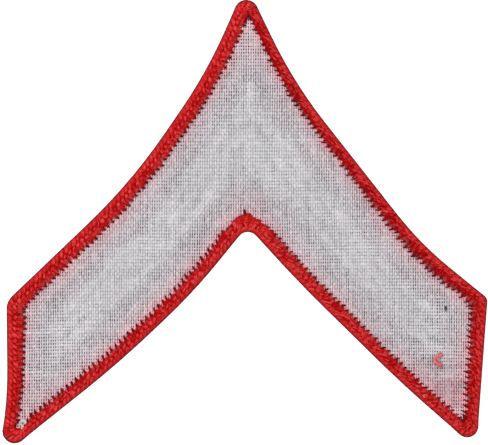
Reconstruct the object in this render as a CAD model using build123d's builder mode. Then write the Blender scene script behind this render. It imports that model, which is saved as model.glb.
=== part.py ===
"""Rank chevron: an embroidered sleeve patch lying on its face, with its woven backing up.

Lengths are in millimetres. +X is to the right and +Y towards the point of the chevron, as seen from
the back. Z = 0 is the plane that the patch lies on, and the origin is under the middle of its outline.
"""
import os
from collections import namedtuple
from math import copysign, radians, tan

from build123d import *

# Overall size of the finished patch, over its border
patch_width = 96.8
patch_height = 88.6
corner_radius = 2.2

# Cloths, stitched together face to face along their cut edge
ground_thickness = 1.0
backing_thickness = 1.0
layer_gap = 0.05

# Overlocked border, a thread wall round the cut edge with a lip over each face
border_width = 3.05
border_wall = 1.25
border_lip = 0.55
border_rounding = 1.25
lip_rounding = 0.3
edge_gap = 0.1

# Embroidered stripe on the face, a chevron with the same margin to the border all round
stripe_margin = 5.3
stripe_relief = 0.5

# An eased bend's arc takes this share of the shorter run beside it
eased_share = 0.45

# Outline, counter-clockwise from the point, seen from the back. across and up are shares of the
# patch's width and height from its middle, and rounding is a share of corner_radius: EASED makes
# the arc as large as its runs allow.
EASED = None
OutlinePoint = namedtuple("OutlinePoint", "name across up rounding")
OUTLINE = [
    OutlinePoint("point", 0.002, 0.537, 1.05),
    OutlinePoint("upper left bend", -0.080, 0.336, EASED),
    OutlinePoint("lower left bend", -0.236, 0.088, EASED),
    OutlinePoint("left shoulder", -0.492, -0.179, 1.60),
    OutlinePoint("left end bend", -0.490, -0.392, EASED),
    OutlinePoint("left tip", -0.508, -0.534, 1.05),
    OutlinePoint("left underside bend", -0.258, -0.316, EASED),
    OutlinePoint("left bend by the notch", -0.105, -0.157, EASED),
    OutlinePoint("notch", 0.005, -0.009, 1.00),
    OutlinePoint("right bend by the notch", 0.111, -0.136, EASED),
    OutlinePoint("right underside bend", 0.329, -0.370, EASED),
    OutlinePoint("right tip", 0.478, -0.511, 0.95),
    OutlinePoint("right shoulder", 0.501, -0.172, 0.70),
    OutlinePoint("lower right bend", 0.363, -0.050, EASED),
    OutlinePoint("upper right bend", 0.102, 0.313, EASED),
]

# The stripe has no room for the bend in the left end: its tip is where the run above the bend goes on
# to the underside
STRIPE_LEFT_TIP = OutlinePoint("left tip", -0.489, -0.517, 1.05)
STRIPE_OUTLINE = [
    STRIPE_LEFT_TIP if row.name == "left tip" else row for row in OUTLINE if row.name != "left end bend"
]

# Heights of the layers, from the plane that the patch lies on
stripe_bottom = border_lip - stripe_relief
ground_bottom = border_lip + layer_gap
backing_bottom = ground_bottom + ground_thickness + layer_gap
slot_height = ground_thickness + backing_thickness + 3 * layer_gap
border_height = slot_height + 2 * border_lip


def outline_runs(points):
    """Returns the run before and the run after each point of a closed outline."""
    runs = [points[(i + 1) % len(points)] - point for i, point in enumerate(points)]
    return [(runs[i - 1], run) for i, run in enumerate(runs)]


def largest_radii(points):
    """Returns the radius at each point whose arc takes eased_share of the shorter run beside it."""
    return [
        eased_share * min(before.length, after.length) / tan(radians(before.get_angle(after)) / 2)
        for before, after in outline_runs(points)
    ]


def inset_outline(rows, inset, crisp):
    """Returns the points and radii of an outline moved in by a distance.

    A crisp outline's notch keeps its radius, and otherwise it grows with the inset.
    """
    points = [Vector(row.across * patch_width, row.up * patch_height) for row in rows]
    moved = []
    turned_in = []
    for point, (before, after) in zip(points, outline_runs(points)):
        come, leave = before.normalized(), after.normalized()
        sine = come.cross(leave).Z
        moved.append(point + (leave - come) * (inset / sine))
        turned_in.append(copysign(inset, sine))
    radii = []
    for row, room, moved_room, turn in zip(
        rows, largest_radii(points), largest_radii(moved), turned_in
    ):
        if row.rounding is EASED:
            radius = room
        else:
            radius = min(row.rounding * corner_radius, room)
            turn = max(turn, 0) if crisp else turn
        radii.append(min(max(radius - turn, 0), moved_room))
    return moved, radii


def draw_outline(inset=0.0, rows=OUTLINE, crisp=False, mode=Mode.ADD):
    """Draws an outline, moved in by a distance, in the sketch that is open."""
    points, radii = inset_outline(rows, inset, crisp)
    with BuildLine() as outline:
        FilletPolyline(*[point - outline_middle for point in points], radius=radii, close=True)
    make_face(outline.edges(), mode=mode)


# Middle of the rounded outline, where the origin is
outline_middle = Vector(0, 0)
with BuildSketch() as finished_outline:
    draw_outline()
outline_middle = finished_outline.sketch.bounding_box().center()

os.makedirs("parts", exist_ok=True)

# Overlocked border, a C-section ring whose slot holds both cloths
with BuildPart() as overlock_border:
    with BuildSketch():
        draw_outline()
        draw_outline(border_width, mode=Mode.SUBTRACT)
    extrude(amount=border_height)
    border_faces = overlock_border.faces().filter_by(Axis.Z)
    fillet([face.outer_wire().edges() for face in border_faces], radius=border_rounding)
    border_faces = overlock_border.faces().filter_by(Axis.Z)
    fillet([face.inner_wires().edges() for face in border_faces], radius=lip_rounding)
    with BuildSketch(Plane.XY.offset(border_lip)):
        draw_outline(border_wall)
    extrude(amount=slot_height, mode=Mode.SUBTRACT)
overlock_border.part.label = "overlock_border"
export_step(overlock_border.part, "parts/overlock_border.step")

# Dark ground cloth, which carries the embroidery of the face
cloth_inset = border_wall + edge_gap
with BuildPart() as ground_cloth:
    with BuildSketch(Plane.XY.offset(ground_bottom)):
        draw_outline(cloth_inset)
    extrude(amount=ground_thickness)
ground_cloth.part.label = "ground_cloth"
export_step(ground_cloth.part, "parts/ground_cloth.step")

# Pale woven backing cloth behind the ground cloth
with BuildPart() as backing_cloth:
    with BuildSketch(Plane.XY.offset(backing_bottom)):
        draw_outline(cloth_inset)
    extrude(amount=backing_thickness)
backing_cloth.part.label = "backing_cloth"
export_step(backing_cloth.part, "parts/backing_cloth.step")

# Embroidered stripe, raised on the face
with BuildPart() as rank_stripe:
    with BuildSketch(Plane.XY.offset(stripe_bottom)):
        draw_outline(border_width + stripe_margin, rows=STRIPE_OUTLINE, crisp=True)
    extrude(amount=stripe_relief)
rank_stripe.part.label = "rank_stripe"
export_step(rank_stripe.part, "parts/rank_stripe.step")
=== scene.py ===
"""Rank chevron lying on its face: woven backing, ground cloth, stitched stripe and overlocked border.

Every piece is made of its own cloth or threads, in metres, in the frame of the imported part: +X is to
the right, +Y towards the chevron's point and +Z up out of the backing. Threads are tubes with an
oval section, joined in one mesh for each set.
"""
from collections import namedtuple

import bpy
import numpy as np
from bpy.props import FloatProperty, FloatVectorProperty, IntProperty, PointerProperty
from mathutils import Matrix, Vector
from mathutils.geometry import delaunay_2d_cdt
from mathutils.kdtree import KDTree


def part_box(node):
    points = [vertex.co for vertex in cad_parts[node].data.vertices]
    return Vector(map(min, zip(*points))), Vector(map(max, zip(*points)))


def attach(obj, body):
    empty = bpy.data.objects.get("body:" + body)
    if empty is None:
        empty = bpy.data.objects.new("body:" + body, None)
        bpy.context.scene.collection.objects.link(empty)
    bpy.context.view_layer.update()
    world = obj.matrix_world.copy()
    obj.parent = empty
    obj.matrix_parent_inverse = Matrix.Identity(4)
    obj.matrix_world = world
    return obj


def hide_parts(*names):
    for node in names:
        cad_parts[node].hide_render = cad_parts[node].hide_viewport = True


bl_info = {
    "name": "Rank Chevron",
    "version": (1, 0, 0),
    "blender": (4, 5, 0),
    "location": "3D View > Sidebar > Rank Chevron",
    "description": "Makes the cloths, threads and stage of an embroidered rank chevron",
    "category": "Object",
}

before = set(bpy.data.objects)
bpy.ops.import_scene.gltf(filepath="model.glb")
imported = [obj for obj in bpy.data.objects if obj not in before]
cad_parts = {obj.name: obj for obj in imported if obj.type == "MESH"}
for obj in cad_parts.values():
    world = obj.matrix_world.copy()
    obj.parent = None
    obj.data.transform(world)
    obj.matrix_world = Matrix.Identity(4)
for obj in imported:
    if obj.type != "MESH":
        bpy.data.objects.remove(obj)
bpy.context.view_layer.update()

MM = 0.001

# Parts of the frame
BORDER, BACKING, GROUND, STRIPE = "overlock_border", "backing_cloth", "ground_cloth", "rank_stripe"

# Points nearer than this are one point
WELD = 0.001 * MM

# Step between the points of a loop, half the window in which its corners are looked for, in points,
# and how many corners a chevron has
LOOP_STEP = 0.2 * MM
CORNER_WINDOW = 15
CORNERS = 6

# Ways that the round side of a thread faces
UP = (0.0, 0.0, 1.0)
DOWN = (0.0, 0.0, -1.0)

# A place in the patch's own frame, in millimetres, with its height over the backing
Point = namedtuple("Point", "x y up")


def read_array(items, name, width, kind=np.float32):
    """One property of a mesh's vertices or faces, as a table of that width."""
    values = np.empty(len(items) * width, kind)
    items.foreach_get(name, values)
    return values.reshape(-1, width)


def node_points(node):
    """The corners of a node's mesh."""
    return read_array(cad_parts[node].data.vertices, "co", 3).astype(float)


def search_tree(points):
    """A tree that finds the nearest of some points in plan."""
    tree = KDTree(len(points))
    for i, (x, y) in enumerate(points):
        tree.insert((x, y, 0.0), i)
    tree.balance()
    return tree


def unit(vectors):
    """The same directions, each one long."""
    return vectors / np.linalg.norm(vectors, axis=-1, keepdims=True)


def wall_ring(node, level):
    """The outline of a node's wall at one of its levels, in plan."""
    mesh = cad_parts[node].data
    mesh.calc_loop_triangles()
    corners = read_array(mesh.loop_triangles, "vertices", 3, np.int32)
    points = node_points(node)
    cells = np.round(points / WELD).astype(np.int64)
    _, first, same = np.unique(cells, axis=0, return_index=True, return_inverse=True)
    points, corners = points[first], same.reshape(-1)[corners]
    on_level = np.abs(points[:, 2] - level) < WELD
    hits = on_level[corners]
    # Triangles that stand on the level by one edge
    standing = hits.sum(axis=1) == 2
    beside = {}
    for a, b in corners[standing][hits[standing]].reshape(-1, 2).tolist():
        beside.setdefault(a, set()).add(b)
        beside.setdefault(b, set()).add(a)
    ring = [min(beside)]
    ring.append(min(beside[ring[0]]))
    while True:
        onward = [n for n in beside[ring[-1]] if n != ring[-2]]
        if onward[0] == ring[0]:
            return points[ring, :2]
        ring.append(onward[0])


class Loop:
    """A closed line in plan, counter-clockwise from above, with its points at even steps."""

    def __init__(self, points):
        around = np.vstack([points, points[:1]])
        across = around[:-1, 0] * around[1:, 1] - around[1:, 0] * around[:-1, 1]
        if across.sum() < 0:
            around = around[::-1]
        steps = np.hypot(*np.diff(around, axis=0).T)
        along = np.concatenate([[0.0], np.cumsum(steps)])
        self.length = along[-1]
        self.count = int(round(self.length / LOOP_STEP))
        places = np.arange(self.count) * self.length / self.count
        self.points = np.column_stack([np.interp(places, along, around[:, k]) for k in (0, 1)])
        heading = unit(np.roll(self.points, -1, axis=0) - np.roll(self.points, 1, axis=0))
        self.inward = np.column_stack([-heading[:, 1], heading[:, 0]])
        self.tree = search_tree(self.points)

    def nearest(self, points):
        """Index of the loop's nearest point to each point, and the distance to it."""
        found = [self.tree.find((x, y, 0.0)) for x, y in points]
        return np.array([f[1] for f in found]), np.array([f[2] for f in found])

    def depth(self, points):
        """Distance from the loop of each point, positive inside."""
        index, distance = self.nearest(points)
        side = ((points - self.points[index]) * self.inward[index]).sum(axis=1)
        return np.where(side < 0, -distance, distance)

    def values_at(self, places, values):
        """Values kept at the loop's points, read at places along it."""
        share = np.asarray(places) / self.length * self.count
        low = np.floor(share).astype(int)
        part = share - low
        if values.ndim > 1:
            part = part[..., None]
        return values[low % self.count] * (1 - part) + values[(low + 1) % self.count] * part

    def inset(self, width):
        """The loop's points moved in, with those that a corner swallows put where it ends."""
        moved = self.points + self.inward * width
        _, distance = self.nearest(moved)
        kept = np.flatnonzero(distance > width - 0.02 * MM)
        tree = search_tree(moved[kept])
        source = np.arange(self.count)
        for i in np.setdiff1d(source, kept):
            source[i] = kept[tree.find((*self.points[i], 0.0))[1]]
        return moved[source], kept

    def corners(self):
        """Indices of the corners: the point, left shoulder, left tip, notch, right tip and shoulder."""
        ahead = np.roll(self.points, -CORNER_WINDOW, axis=0) - self.points
        behind = self.points - np.roll(self.points, CORNER_WINDOW, axis=0)
        cross = behind[:, 0] * ahead[:, 1] - behind[:, 1] * ahead[:, 0]
        turn = np.abs(np.arctan2(cross, (behind * ahead).sum(axis=1)))
        found = []
        for _ in range(CORNERS):
            corner = int(turn.argmax())
            found.append(corner)
            near = np.arange(corner - 2 * CORNER_WINDOW, corner + 2 * CORNER_WINDOW)
            turn[near % self.count] = 0
        found.sort()
        first = max(range(CORNERS), key=lambda k: self.points[found[k], 1])
        return found[first:] + found[:first]

    def side(self, start, end):
        """The loop's points from one corner to another."""
        return self.points[np.arange(start, end + 1 + (self.count if end < start else 0)) % self.count]


def smooth_round(values, width):
    """Values round a loop, evened out over that many points."""
    reach = np.arange(-3 * width, 3 * width + 1)
    weights = np.exp(-0.5 * (reach / width) ** 2)
    weights /= weights.sum()
    return sum(w * np.roll(values, r, axis=0) for r, w in zip(reach, weights))


def even_path(points, shares):
    """Points at shares of an open path's length."""
    along = np.concatenate([[0.0], np.cumsum(np.linalg.norm(np.diff(points, axis=0), axis=1))])
    return np.column_stack([np.interp(shares * along[-1], along, column) for column in points.T])


# Side of the square over which random values are laid, wider than the patch
CLOUD_SIDE = 130 * MM


class Cloud:
    """Smooth random values over the chevron, from -1 to 1, in spots of about one size."""

    def __init__(self, rng, size, rows=1.0):
        self.size = np.array([size, size * rows])
        self.values = rng.uniform(-1, 1, np.ceil(CLOUD_SIDE / self.size).astype(int) + 3)

    def at(self, x, y):
        """The values at places in plan."""
        place = np.stack(np.broadcast_arrays(np.asarray(x) / self.size[0], np.asarray(y) / self.size[1]))
        place = place + np.array(self.values.shape).reshape(2, *[1] * (place.ndim - 1)) / 2
        low = np.floor(place).astype(int)
        part = place - low
        part = part * part * (3 - 2 * part)
        (i, j), (u, v) = low, part
        wide, high = self.values.shape
        i0, i1, j0, j1 = i % wide, (i + 1) % wide, j % high, (j + 1) % high
        near = self.values[i0, j0] * (1 - u) + self.values[i1, j0] * u
        far = self.values[i0, j1] * (1 - u) + self.values[i1, j1] * u
        return near * (1 - v) + far * v


def ease(values, low, high):
    """0 up to low, 1 from high on, and a smooth step between them."""
    share = np.clip((values - low) / (high - low), 0, 1)
    return share * share * (3 - 2 * share)


def close_to(values, middle, reach, power=4):
    """1 at a middle value, and 0 well beyond its reach."""
    return np.exp(-(((values - middle) / reach) ** power))


def face_corners(near_x, far_x, near_y, far_y):
    """Places of the four corners of each face in a UV map, one face after another."""
    return np.stack(
        [
            np.column_stack([near_x, near_y]),
            np.column_stack([far_x, near_y]),
            np.column_stack([far_x, far_y]),
            np.column_stack([near_x, far_y]),
        ],
        axis=1,
    ).reshape(-1, 2)


# Sections of a thread, as shares of its half width and half height: round on top, plain beneath
ROUND_TOP = np.array([(1.0, 0.0), (0.6, 0.85), (-0.6, 0.85), (-1.0, 0.0), (0.0, -1.0)])
ROUND = np.array([(np.cos(a), np.sin(a)) for a in np.radians([0, 60, 120, 180, 240, 300])])

# A thread's strip in the bake map: the room it gets for its height, the room for each of its end caps
# in half widths, and how large a cap is laid there, as a share of the thread's section
STRIP_MARGIN = 1.06
CAP_ROOM = 2.3
CAP_SIZE = 0.9

# A table of rings has each ring's centre, facing, half width and half height, and then in these
# columns the values that are kept on the mesh
RING_VALUES = {"tone": 8, "tint": 9, "behind": 10}


class Threads:
    """Threads of one piece: rings along each of them, with their sizes, facing and tones."""

    def __init__(self):
        self.rings = []
        self.counts = []

    def add(self, centres, facing, half_width, half_height, tone, tint=0.0, behind=0.0):
        """Adds threads of a like number of rings, as a table of threads by rings by XYZ."""
        centres = np.asarray(centres, float)
        if centres.ndim == 2:
            centres = centres[None]
        many, rings, _ = centres.shape
        facing = np.broadcast_to(facing, centres.shape)
        rest = [
            np.broadcast_to(value, (many, rings)).reshape(-1, 1)
            for value in (half_width, half_height, tone, tint, behind)
        ]
        self.rings.append(np.hstack([centres.reshape(-1, 3), facing.reshape(-1, 3), *rest]))
        self.counts.extend([rings] * many)

    def make(self, name, section):
        """One closed mesh of all the threads, with their strips laid side by side in the bake map."""
        table = np.vstack(self.rings)
        counts = np.array(self.counts)
        centres, facing = table[:, :3], table[:, 3:6]
        half_width, half_height = table[:, 6], table[:, 7]
        total, sides = len(table), len(section)
        ends = np.cumsum(counts)
        starts = ends - counts
        thread = np.repeat(np.arange(len(counts)), counts)
        is_first = np.zeros(total, bool)
        is_first[starts] = True
        is_last = np.zeros(total, bool)
        is_last[ends - 1] = True
        before = np.where(is_first, np.arange(total), np.arange(total) - 1)
        after = np.where(is_last, np.arange(total), np.arange(total) + 1)
        heading = unit(centres[after] - centres[before])
        across = unit(np.cross(heading, facing))
        up = np.cross(across, heading)
        points = (
            centres[:, None]
            + across[:, None] * (half_width[:, None] * section[:, 0])[..., None]
            + up[:, None] * (half_height[:, None] * section[:, 1])[..., None]
        )
        step = np.where(is_first, 0.0, np.linalg.norm(centres - centres[before], axis=1))
        run = np.cumsum(step)
        along = run - run[starts][thread]

        # Faces: the sides of each thread, and a cap at both of its ends
        side = np.arange(sides)
        onward = np.roll(side, -1)
        ring = np.flatnonzero(~is_last)[:, None]
        quads = np.stack(
            [
                ring * sides + side,
                (ring + 1) * sides + side,
                (ring + 1) * sides + onward,
                ring * sides + onward,
            ],
            axis=-1,
        ).reshape(-1, 4)
        first_caps = starts[:, None] * sides + side
        last_caps = (ends - 1)[:, None] * sides + side[::-1]

        # Bake map: each thread's sides unrolled in a strip of its own, between its two caps
        girth = np.pi * (half_width + half_height)
        strip_high = np.maximum.reduceat(girth, starts)
        strip_long = along[ends - 1]
        cap_room = CAP_ROOM * np.maximum.reduceat(np.maximum(half_width, half_height), starts)
        left, low, map_side = shelve(strip_long + 2 * cap_room, strip_high * STRIP_MARGIN)
        place_u = left + cap_room
        ring_of = np.repeat(ring[:, 0], sides)
        side_of = np.tile(side, len(ring))
        own = thread[ring_of]
        near_run, far_run = along[ring_of], along[ring_of + 1]
        bake = face_corners(
            near_run + place_u[own],
            far_run + place_u[own],
            low[own] + strip_high[own] * side_of / sides,
            low[own] + strip_high[own] * (side_of + 1) / sides,
        )
        caps = []
        for rim, order, middle in (
            (starts, side, left + cap_room / 2),
            (ends - 1, side[::-1], left + 1.5 * cap_room + strip_long),
        ):
            shape = section[order] * CAP_SIZE
            size = np.minimum(np.stack([half_width[rim], half_height[rim]], axis=1), cap_room[:, None])
            centre = np.stack([middle, low + strip_high / 2], axis=1)
            caps.append((centre[:, None] + shape * size[:, None]).reshape(-1, 2))
        bake = np.vstack([bake, *caps]) / map_side

        # Twist map: millimetres along the thread, and share of the way round it
        twist = face_corners(near_run, far_run, side_of / sides, (side_of + 1) / sides)
        twist[:, 0] /= MM
        twist = np.vstack([twist, np.zeros((2 * sides * len(counts), 2))])
        return make_mesh(
            name,
            points.reshape(-1, 3),
            [quads, first_caps, last_caps],
            {"OFBake": bake, "Twist": twist},
            {key: np.repeat(table[:, column], sides) for key, column in RING_VALUES.items()},
        )


def shelve(widths, heights):
    """Lays boxes on shelves in a square: their left edges, their low edges and the square's side."""
    order = np.argsort(-heights, kind="stable")
    side = max(np.sqrt((widths * heights).sum()) * 1.02, widths.max())
    while True:
        left, low = np.zeros(len(widths)), np.zeros(len(widths))
        used, shelf, shelf_high = 0.0, 0.0, 0.0
        for i in order:
            if used + widths[i] > side:
                shelf += shelf_high
                used, shelf_high = 0.0, 0.0
            left[i], low[i] = used, shelf
            used += widths[i]
            shelf_high = max(shelf_high, heights[i])
        if shelf + shelf_high <= side:
            return left, low, side
        side *= 1.02


def make_mesh(name, points, faces, maps=None, values=None):
    """A piece of smooth mesh from arrays: corners, groups of faces, UV maps and values by corner."""
    mesh = bpy.data.meshes.new(name)
    mesh.vertices.add(len(points))
    mesh.vertices.foreach_set("co", points.astype(np.float32).ravel())
    corners = np.concatenate([group.ravel() for group in faces]).astype(np.int32)
    sizes = np.concatenate([np.full(len(group), group.shape[1]) for group in faces])
    mesh.loops.add(len(corners))
    mesh.loops.foreach_set("vertex_index", corners)
    mesh.polygons.add(len(sizes))
    mesh.polygons.foreach_set("loop_start", (np.cumsum(sizes) - sizes).astype(np.int32))
    mesh.update(calc_edges=True)
    mesh.polygons.foreach_set("use_smooth", np.ones(len(sizes), bool))
    for key, places in (maps or {}).items():
        layer = mesh.uv_layers.new(name=key)
        layer.uv.foreach_set("vector", places.astype(np.float32).ravel())
    for key, numbers in (values or {}).items():
        mesh.attributes.new(key, "FLOAT", "POINT").data.foreach_set("value", numbers.astype(np.float32))
    mesh.update()
    piece = bpy.data.objects.new(name, mesh)
    bpy.context.scene.collection.objects.link(piece)
    return piece


def sheet_mesh(name, loop, low, high, spacing, ripple, values_at):
    """A closed sheet of cloth between two heights, with an even net of points inside its outline."""
    rim = loop.points[:: max(1, int(round(spacing / LOOP_STEP / 2)))]
    x, y = np.meshgrid(*[np.arange(a.min(), a.max(), spacing) for a in loop.points.T])
    net = np.column_stack([x.ravel(), y.ravel()])
    net = net[loop.depth(net) > spacing * 0.6]
    flat = np.vstack([rim, net])
    edges = [(i, (i + 1) % len(rim)) for i in range(len(rim))]
    result = delaunay_2d_cdt(
        [Vector(p) for p in flat.tolist()], edges, [list(range(len(rim)))], 1, WELD
    )
    flat = np.array([tuple(p) for p in result[0]])
    triangles = np.array([face for face in result[2] if len(face) == 3])
    a, b, c = (flat[triangles[:, k]] for k in range(3))
    turned = (b[:, 0] - a[:, 0]) * (c[:, 1] - a[:, 1]) - (b[:, 1] - a[:, 1]) * (c[:, 0] - a[:, 0]) < 0
    triangles[turned] = triangles[turned][:, ::-1]
    lift = ripple(flat[:, 0], flat[:, 1])
    count = len(flat)
    points = np.vstack([np.column_stack([flat, high + lift]), np.column_stack([flat, low + lift])])
    # Edges with a triangle on one side only get a wall
    pairs = np.vstack([triangles[:, [0, 1]], triangles[:, [1, 2]], triangles[:, [2, 0]]])
    known = {tuple(pair) for pair in pairs.tolist()}
    rim_pairs = np.array([pair for pair in pairs.tolist() if (pair[1], pair[0]) not in known])
    walls = np.column_stack(
        [rim_pairs[:, 0], rim_pairs[:, 0] + count, rim_pairs[:, 1] + count, rim_pairs[:, 1]]
    )
    values = {key: np.tile(value(flat), 2) for key, value in values_at.items()}
    return make_mesh(name, points, [triangles, triangles[:, ::-1] + count, walls], values=values)


# The border on each side of the patch, counter-clockwise from the point. Depths are in millimetres
# from the outer edge: of the groove beside the chain, of the chain, and of the tips of the inner
# stitches where the side starts and where it ends. teeth is how long the tips are, lean how far
# they run along the edge, turn how many degrees the chain's leaves are turned inwards, fine how
# much they part into strands, scatter how uneven the tips are and shade their darker tone.
Side = namedtuple("Side", "name groove chain reach reach_end teeth lean turn fine scatter shade")
SIDES = [
    Side("outer left", 1.14, 1.68, 3.34, 3.58, 0.34, -0.12, 34, 0.0, 0.09, 0.00),
    Side("left end", 1.08, 1.66, 4.06, 2.92, 0.42, 0.08, 38, 0.0, 0.08, 0.07),
    Side("lower left", 0.98, 1.42, 3.12, 3.26, 0.56, 0.22, 26, 0.3, 0.10, 0.09),
    Side("lower right", 0.98, 1.46, 3.36, 2.84, 0.42, 0.28, 16, 0.8, 0.12, 0.03),
    Side("right end", 0.98, 1.44, 3.22, 3.76, 0.54, 0.24, 30, 1.0, 0.14, 0.17),
    Side("outer right", 0.80, 1.18, 3.50, 2.58, 0.46, 0.32, 18, 1.0, 0.16, 0.30),
]

# In the table of sides without their names: how many of its first columns are in millimetres, and the
# column of the reach
LENGTH_COLUMNS = 6
REACH_COLUMN = 2

# Points of a loop over which the border's inner line, and the values of its sides, are evened out
LINE_SMOOTHING = 4
SIDE_SMOOTHING = 8


class BorderCourse:
    """Places on the border by how far along its edge, how deep in from it and how high they are."""

    def __init__(self):
        low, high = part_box(BORDER)
        self.low, self.high = low.z, high.z
        self.slot_low, self.slot_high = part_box(GROUND)[0].z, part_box(BACKING)[1].z
        points = node_points(BORDER)
        heights = points[:, 2]
        under_middle = (heights > self.slot_low) & (heights < (low.z + high.z) / 2)
        level = heights[under_middle].max()
        self.rounding = level - low.z
        self.edge = Loop(wall_ring(BORDER, level))
        self.width = self.edge.nearest(points[:, :2])[1].max()
        self.inner = smooth_round(self.edge.inset(self.width)[0], LINE_SMOOTHING)
        corners = self.edge.corners()
        self.left_tip_place, self.notch_place = (
            corners[k] * self.edge.length / self.edge.count for k in (2, 3)
        )
        table = np.array([side[1:] for side in SIDES])
        table[:, :LENGTH_COLUMNS] *= MM
        rows = np.zeros((self.edge.count, table.shape[1]))
        for number, start in enumerate(corners):
            end = corners[(number + 1) % CORNERS]
            run = np.arange(start, end + (self.edge.count if end < start else 0)) % self.edge.count
            rows[run] = table[number]
            reach, reach_end = table[number, REACH_COLUMN:REACH_COLUMN + 2]
            rows[run, REACH_COLUMN] = reach + (reach_end - reach) * np.linspace(0, 1, len(run))
        self.rows = smooth_round(rows, SIDE_SMOOTHING)
        # How much wider apart the threads are at the inner line than at the edge
        moved = np.linalg.norm(np.roll(self.inner, -1, axis=0) - self.inner, axis=1)
        self.fan = smooth_round(moved / LOOP_STEP, LINE_SMOOTHING)

    def stitch_places(self, count):
        """Places along the edge of that many stitches, closer round the notch, where they fan out."""
        run = np.concatenate([[0.0], np.cumsum(np.clip(self.fan, 0.95, 2.2))])
        places = np.interp(np.arange(count) * run[-1] / count, run, np.arange(self.edge.count + 1))
        return places * self.edge.length / self.edge.count

    def stretch(self, along, depth):
        """How much longer the border is at a depth than at its edge."""
        return 1 + (self.edge.values_at(along, self.fan) - 1) * depth / self.width

    def row(self, along):
        """The side table's values at places along the edge."""
        return Side("here", *np.moveaxis(self.edge.values_at(along, self.rows), -1, 0))

    def place(self, along, depth, height):
        """Points on the border."""
        along, depth, height = np.broadcast_arrays(along, depth, height)
        outer = self.edge.values_at(along, self.edge.points)
        inner = self.edge.values_at(along, self.inner)
        plan = outer + (inner - outer) * (depth / self.width)[..., None]
        return np.concatenate([plan, height[..., None]], axis=-1)

    def outward(self, along):
        """Level directions out of the patch."""
        outer = self.edge.values_at(along, self.edge.points)
        away = unit(outer - self.edge.values_at(along, self.inner))
        return np.concatenate([away, np.zeros(away.shape[:-1] + (1,))], axis=-1)


course = BorderCourse()
stripe_loop = Loop(wall_ring(STRIPE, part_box(STRIPE)[1].z))


def stripe_sides():
    """The long sides of the stripe, left arm and right arm, as pairs of outer and inner points."""
    point, left_shoulder, left_tip, notch, right_tip, right_shoulder = stripe_loop.corners()
    return [
        (stripe_loop.side(point, left_shoulder)[::-1], stripe_loop.side(left_tip, notch)),
        (stripe_loop.side(right_shoulder, point)[::-1], stripe_loop.side(notch, right_tip)),
    ]


def nearest_distance(points, line):
    """Distance from each point to the nearest point of a line."""
    tree = search_tree(line)
    return np.array([tree.find((x, y, 0.0))[2] for x, y in points])


class Colours(bpy.types.PropertyGroup):
    """Colours of the cloths and threads"""

    cloth: FloatVectorProperty(
        name="Backing thread", description="Backing thread over the dark ground cloth",
        subtype="COLOR", size=3, min=0, max=1, default=(0.728, 0.706, 0.740),
    )
    cloth_over_stripe: FloatVectorProperty(
        name="Backing thread over the stripe", description="Backing thread where pale thread lies behind",
        subtype="COLOR", size=3, min=0, max=1, default=(0.733, 0.718, 0.744),
    )
    halo: FloatVectorProperty(
        name="Halo", description="Backing thread dyed and fluffed by the border",
        subtype="COLOR", size=3, min=0, max=1, default=(0.90, 0.487, 0.537),
    )
    fluff: FloatVectorProperty(
        name="Fluff", description="Backing thread under the red fluff between the tips of the stitches",
        subtype="COLOR", size=3, min=0, max=1, default=(0.92, 0.43, 0.48),
    )
    gap_dark: FloatVectorProperty(
        name="Gap", description="Ground cloth seen through the backing's gaps",
        subtype="COLOR", size=3, min=0, max=1, default=(0.045, 0.045, 0.05),
    )
    gap_red: FloatVectorProperty(
        name="Gap by the border", description="Red thread seen through the backing's gaps",
        subtype="COLOR", size=3, min=0, max=1, default=(0.16, 0.02, 0.03),
    )
    gap_pale: FloatVectorProperty(
        name="Gap over the stripe", description="Stripe thread seen through the backing's gaps",
        subtype="COLOR", size=3, min=0, max=1, default=(0.30, 0.29, 0.30),
    )
    ground: FloatVectorProperty(
        name="Ground cloth", description="Dark cloth that carries the stripe",
        subtype="COLOR", size=3, min=0, max=1, default=(0.0115, 0.0125, 0.0155),
    )
    stripe: FloatVectorProperty(
        name="Stripe thread", description="Embroidery thread of the stripe",
        subtype="COLOR", size=3, min=0, max=1, default=(0.70, 0.68, 0.60),
    )
    lint: FloatVectorProperty(
        name="Lint", description="Pale fluff that lies on the backing",
        subtype="COLOR", size=3, min=0, max=1, default=(0.70, 0.78, 0.72),
    )
    red: FloatVectorProperty(
        name="Border thread", description="Overlock thread of the border",
        subtype="COLOR", size=3, min=0, max=1, default=(0.59, 0.0135, 0.0155),
    )


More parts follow.
